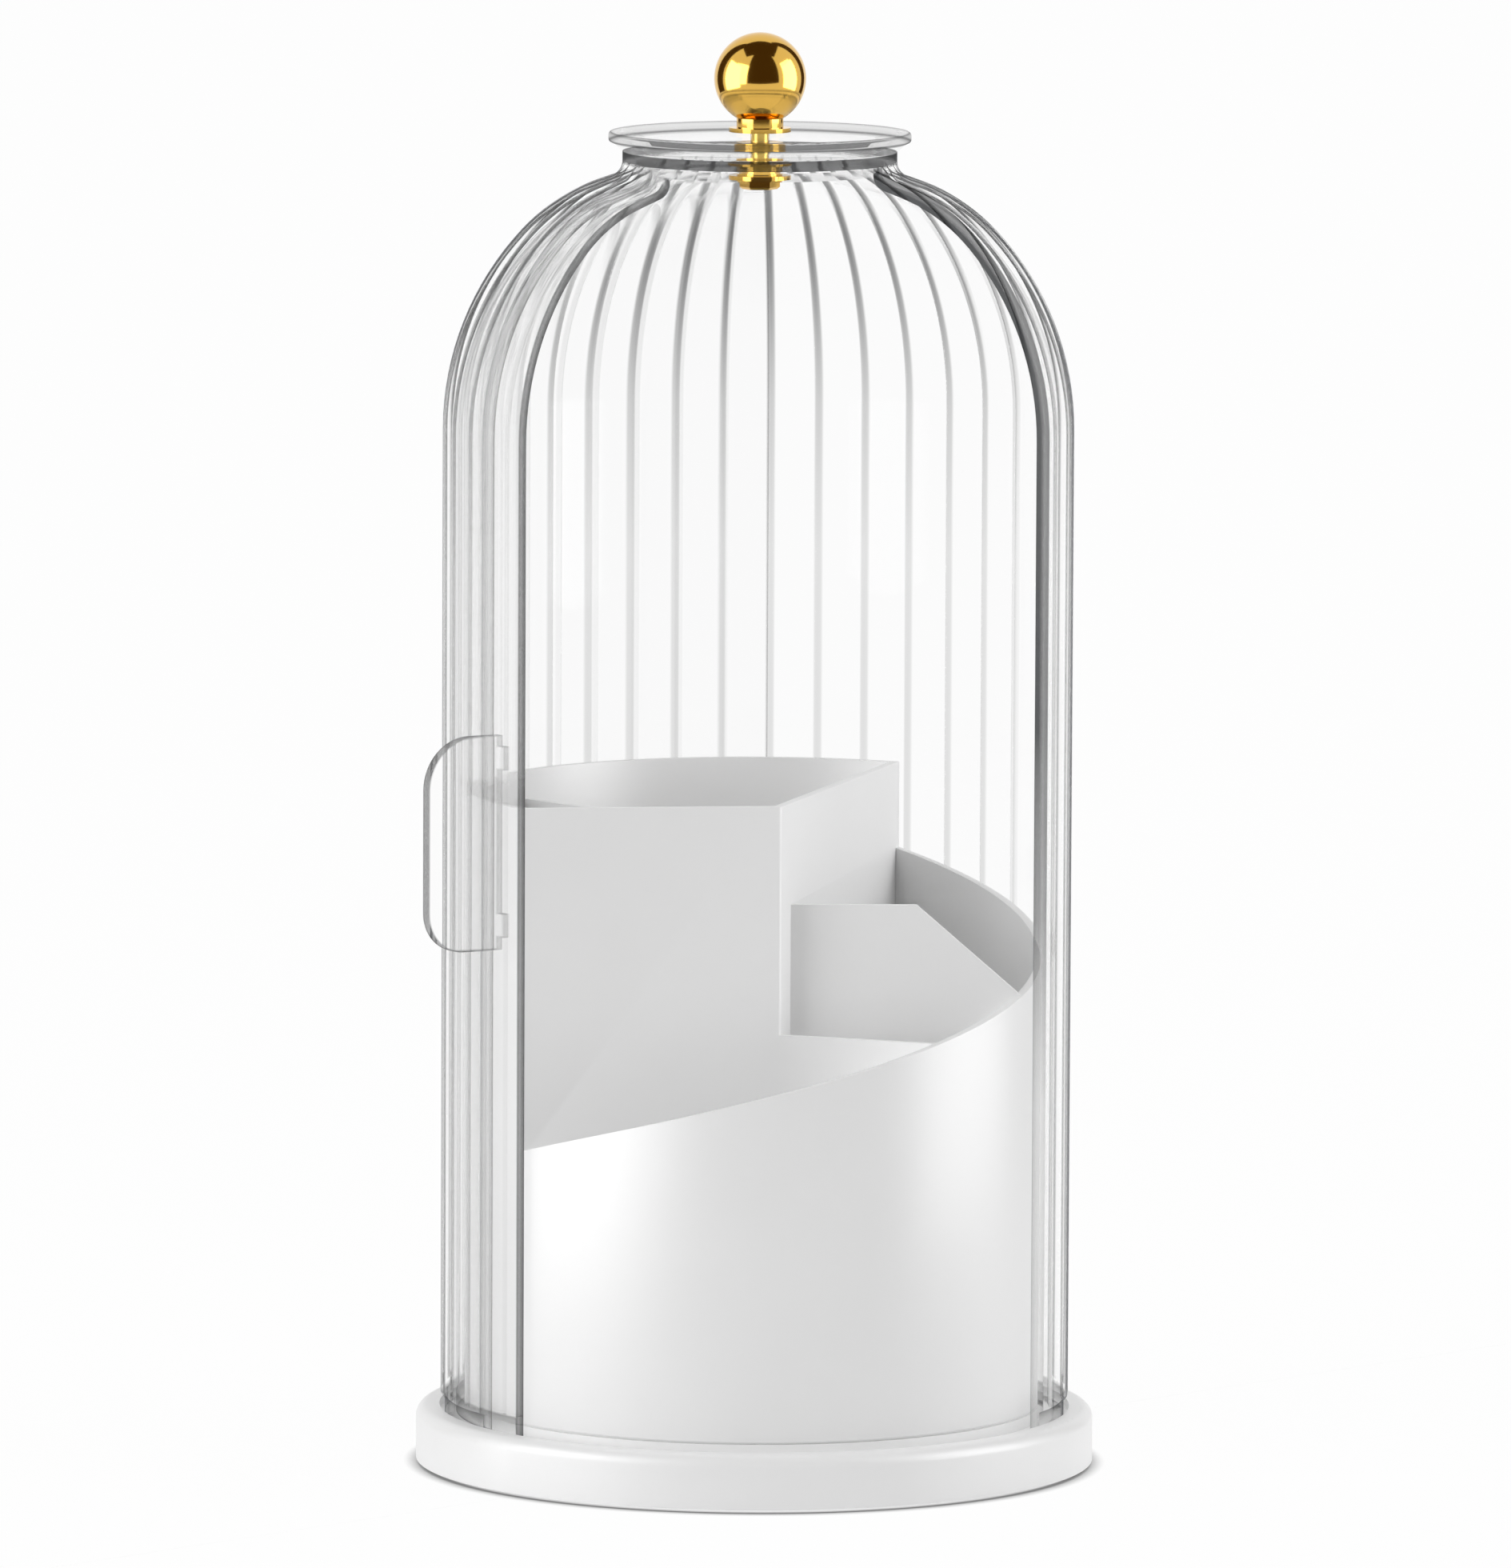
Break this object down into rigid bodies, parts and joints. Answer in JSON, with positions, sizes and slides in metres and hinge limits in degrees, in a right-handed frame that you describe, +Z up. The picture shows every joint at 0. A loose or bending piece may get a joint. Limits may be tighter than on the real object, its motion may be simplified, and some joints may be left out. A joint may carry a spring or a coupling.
{
  "type": "makeup brush holder",
  "caption": "Rotating makeup brush holder: a divided white drum under a fluted clear dome with a swinging door and a gilt ball knob.",
  "frame": {"origin": "centre of the base on the table, under the dome's axis", "axes": "+Z up along the axis that the turntable and the door share, -Y to the open front"},
  "size_m": [0.145, 0.145, 0.3065],
  "materials": {
    "clear_plastic": "clear, polished",
    "white_plastic": "white, satin gloss",
    "gilt_metal": "polished gold plate",
    "steel": "zinc plated",
    "nylon": "natural nylon",
    "grey_plastic": "pale, moulded",
    "rubber_pad": "matt rubber"
  },
  "bodies": {
    "foot": {"foot_plate": "grey_plastic", "rubber_feet": "rubber_pad", "hub_screw": "steel", "hub_washer": "steel"},
    "cage": {"ball_cage": "nylon", "bearing_balls": "steel"},
    "housing": {"base_tray": "white_plastic", "organiser_drum": "white_plastic", "drum_screws": "steel", "fixed_shell": "clear_plastic", "lid_disc": "clear_plastic", "lid_spacer": "gilt_metal", "pivot_bush": "gilt_metal", "pivot_washer": "gilt_metal", "pivot_nut": "gilt_metal", "knob_stud": "steel", "knob_collar": "gilt_metal", "knob_ball": "gilt_metal"},
    "door": {"door_shell": "clear_plastic", "door_handle": "clear_plastic"}
  },
  "joints": [
    {"name": "turntable_spin", "type": "hinge", "parent": "foot", "child": "housing", "pos_m": [0, 0, 0], "axis": [0, 0, 1], "continuous": true},
    {"name": "cage_spin", "type": "hinge", "parent": "foot", "child": "cage", "pos_m": [0, 0, 0], "axis": [0, 0, 1], "continuous": true},
    {"name": "door_swing", "type": "hinge", "parent": "housing", "child": "door", "pos_m": [0, 0, 0], "axis": [0, 0, 1], "range_deg": [0, 120]}
  ],
  "couplings": [
    {"joint": "cage_spin", "follows": "turntable_spin", "ratio": 0.5}
  ]
}
